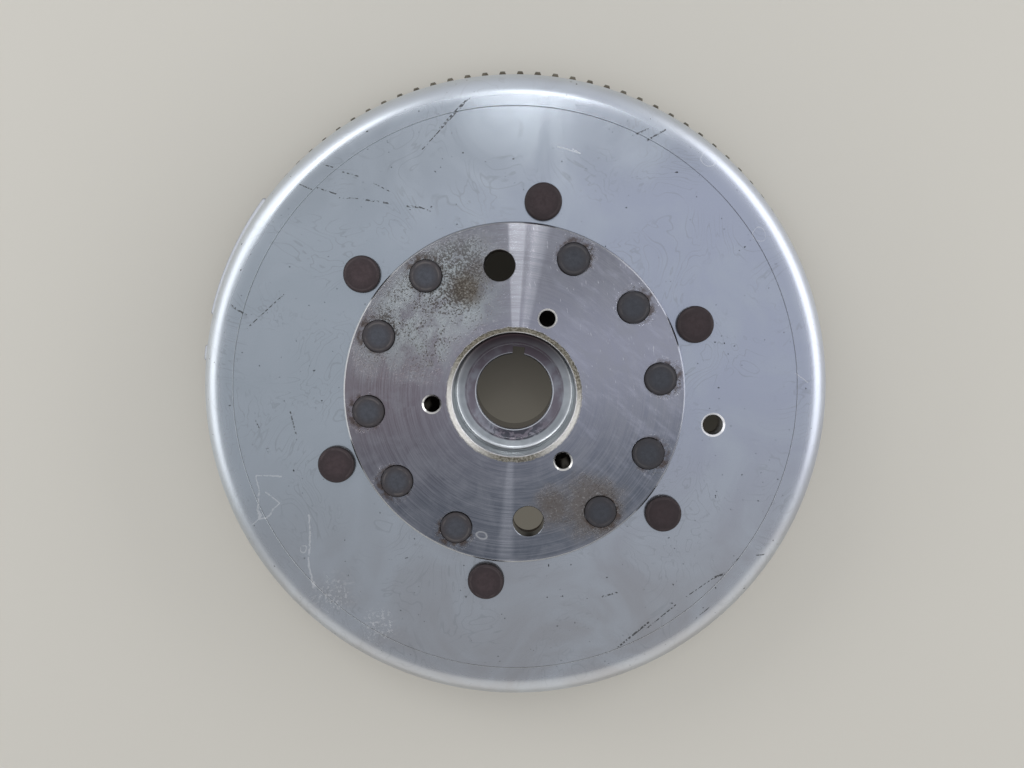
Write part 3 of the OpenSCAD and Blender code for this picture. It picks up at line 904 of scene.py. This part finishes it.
def rivet_section(head, seat, top, rounding):
    """Half section of a rivet: slightly crowned head, shank and domed rear head."""
    tail, tail_end = head - 0.9, PLATE_Z - 2
    crown, shank, pole = 0.06, SHANK_R - 0.05, 0.001
    section = [(pole, tail_end), (tail * 0.55, tail_end + 0.15), (tail * 0.85, tail_end + 0.7)]
    section += [(tail, PLATE_Z - 0.3), (tail, PLATE_Z), (shank, PLATE_Z), (shank, seat)]
    section += [(head, seat), (head, seat + 0.3)]
    section += arc((head - rounding, top - crown - rounding), rounding, 0, 80, 8)
    return section + [(head * 0.6, top - 0.02), (head * 0.3, top), (pole, top)]


def make_rivets(prefix, circle, directions, section, material):
    """Rivets round a circle, with heads of slightly uneven width."""
    for i, a in enumerate(directions, 1):
        name = "%s_%02d" % (prefix, i)
        wide = random.uniform(0.985, 1.0)
        uneven = [(r * wide if r > SHANK_R else r, z) for r, z in section]
        bm = bmesh.new()
        add_lathe(bm, uneven, turns(64), polar(circle, a))
        finish_piece(to_object(name, bm), MATERIALS[material], material, name)


# ------------------------------------------------------------------ magnets and their cage


def make_magnet_ring():
    """Cage moulded in one piece with a window for each magnet, and the magnets in them."""
    finger, gap = 3, 0.1
    magnet_r = CAGE_R - 8.5
    inner = magnet_r - 0.6
    step = 360 / MAGNETS
    sweep = step - math.degrees(finger / magnet_r)
    bm = bmesh.new()
    add_lathe(bm, [(inner, CAGE_Z0), (CAGE_R, CAGE_Z0), (CAGE_R, CAGE_Z1), (inner, CAGE_Z1)], turns(360))
    cage = to_object("magnet_cage", bm)
    windows = bmesh.new()
    for k in range(MAGNETS):
        add_arc_block(windows, magnet_r - 2, CAGE_R + 1, step * k, sweep, MAGNET_Z0, MAGNET_Z1)
    cut(cage, windows)
    bevel(cage, 0.35, 1)
    finish_piece(cage, MATERIALS["cage_plastic"], "cage_plastic", "magnet_cage")
    for k in range(MAGNETS):
        name = "magnet_%02d" % (k + 1)
        bm = bmesh.new()
        add_arc_block(bm, magnet_r, CAGE_R, step * k, sweep - gap, MAGNET_Z0, MAGNET_Z1)
        magnet = to_object(name, bm)
        bevel(magnet, 0.7)
        finish_piece(magnet, MATERIALS["magnet_ferrite"], "magnet_ferrite", name)


# ------------------------------------------------------------------ camera, floor and lights


def make_camera():
    """Camera over the closed face, a little off the crank axis and rolled."""
    aim = Vector((-0.32, 4.71, HUB_TOP)) * MM
    distance, azimuth, elevation, roll = 318.87, 166.719, 85.342, -173.141
    a, e = math.radians(azimuth), math.radians(elevation)
    back = Vector((math.sin(a) * math.cos(e), -math.cos(a) * math.cos(e), math.sin(e)))
    level = Vector((0, 0, 1)).cross(back).normalized()
    side = Matrix.Rotation(math.radians(roll), 3, back) @ level
    up = back.cross(side)
    camera = bpy.data.objects.new("camera", bpy.data.cameras.new("camera"))
    bpy.context.scene.collection.objects.link(camera)
    turn = Matrix((side, up, back)).transposed().to_4x4()
    camera.matrix_world = Matrix.Translation(aim + back * distance * MM) @ turn
    camera.data.lens = 27.035
    camera.data.sensor_width = 36
    camera.data.clip_start = 0.01
    bpy.context.scene.camera = camera


def area_light(name, place, aim, size, power, colour=(1, 1, 1)):
    """Rectangular light at a place, in metres, aimed at another."""
    data = bpy.data.lights.new(name, "AREA")
    data.shape = "RECTANGLE"
    data.size, data.size_y = size
    data.energy = power
    data.color = colour
    light = bpy.data.objects.new(name, data)
    light.location = place
    light.rotation_euler = (Vector(aim) - Vector(place)).to_track_quat("-Z", "Y").to_euler()
    bpy.context.scene.collection.objects.link(light)


def floor_paint():
    """Warm white floor, with a painted shadow under the wheel and a painted glow there that shows through its
    holes.
    """
    s = Shader("floor_paint")
    # painted shadow: the floor darker under the wheel
    under = s.span(s.radius, 118, 128, 1, 0)
    off_neck = s.span(s.band(s.radius, 31, 46, 2), 0, 1, 1, 0)
    # painted glow: a faint light given off by the floor under the wheel
    glow = s.times(s.span(s.y, -60, 40, 1, 0.1), off_neck, s.span(s.radius, 74, 92, 1, 0.3))
    s.set(Base_Color=s.blend(under, (0.60, 0.578, 0.518), (0.16, 0.148, 0.125)), Roughness=0.8)
    s.set(Emission_Color=(1.0, 0.93, 0.78, 1), Emission_Strength=s.times(under, glow, 0.13))
    return s.material


def make_floor():
    """Floor at z = 0, as part of the stage."""
    bm = bmesh.new()
    bmesh.ops.create_grid(bm, x_segments=1, y_segments=1, size=3000)
    floor = to_object("floor", bm)
    floor.data.materials.append(floor_paint())


def make_world():
    """Soft grey surroundings, a little darker overhead and a little brighter towards +X and +Y."""
    world = bpy.data.worlds.new("studio")
    bpy.context.scene.world = world
    world.use_nodes = True
    nodes, links = world.node_tree.nodes, world.node_tree.links
    place = nodes.new("ShaderNodeTexCoord").outputs["Generated"]
    split = nodes.new("ShaderNodeSeparateXYZ")
    ramp = nodes.new("ShaderNodeValToRGB")
    links.new(place, split.inputs[0])
    links.new(split.outputs["Z"], ramp.inputs["Fac"])
    links.new(ramp.outputs["Color"], nodes["Background"].inputs["Color"])
    side = nodes.new("ShaderNodeVectorMath")
    side.operation = "DOT_PRODUCT"
    side.inputs[1].default_value = (0.43, 0.38, 0)
    links.new(place, side.inputs[0])
    strength = nodes.new("ShaderNodeMath")
    strength.operation = "MULTIPLY_ADD"
    strength.inputs[2].default_value = 1.05
    links.new(side.outputs["Value"], strength.inputs[0])
    links.new(split.outputs["Z"], strength.inputs[1])
    links.new(strength.outputs[0], nodes["Background"].inputs["Strength"])
    ramp.color_ramp.elements[0].color = (0.55, 0.55, 0.56, 1)
    ramp.color_ramp.elements[1].position = 0.97
    ramp.color_ramp.elements[1].color = (0.52, 0.535, 0.575, 1)


def make_lights():
    """Two narrow lights for the streaks and wide ones all round, as in a light tent."""
    area_light("key_right", (0.15, 0.62, 1.2), (0, 0.1, 0.05), (0.03, 0.26), 0.6)
    area_light("key_left", (0.065, 0.62, 1.2), (0, 0.1, 0.05), (0.015, 0.26), 0.36)
    area_light("left", (-1.0, 0.27, 0.44), (-0.1, 0.02, 0.05), (1.3, 0.54), 3.0)
    area_light("upper_left", (-0.50, 0.66, 0.75), (-0.05, 0.06, 0.05), (0.5, 0.35), 1.5)
    area_light("right", (0.99, 0.19, 0.48), (0.1, 0.02, 0.05), (1.4, 0.64), 4.3)
    area_light("front", (0.0, -0.95, 0.40), (0, -0.1, 0.05), (3.0, 0.9), 4.0, (1, 0.95, 0.86))


# ------------------------------------------------------------------ the scene

make_drum()
make_hub()
make_back_plate()
make_ring_gear()
HUB_RIVET = rivet_section(HUB_HEAD_R, RIVET_SEAT_Z, HUB_RIVET_TOP, rounding=0.5)
DRUM_RIVET = rivet_section(DRUM_HEAD_R, FACE_Z, DRUM_RIVET_TOP, rounding=1.1)
make_rivets("hub_rivet", INNER_CIRCLE, HUB_RIVETS, HUB_RIVET, "hub_rivet_steel")
make_rivets("drum_rivet", OUTER_CIRCLE, DRUM_RIVETS, DRUM_RIVET, "drum_rivet_steel")
make_magnet_ring()
make_camera()
make_floor()
make_world()
make_lights()
bpy.context.scene.view_settings.view_transform = "Standard"
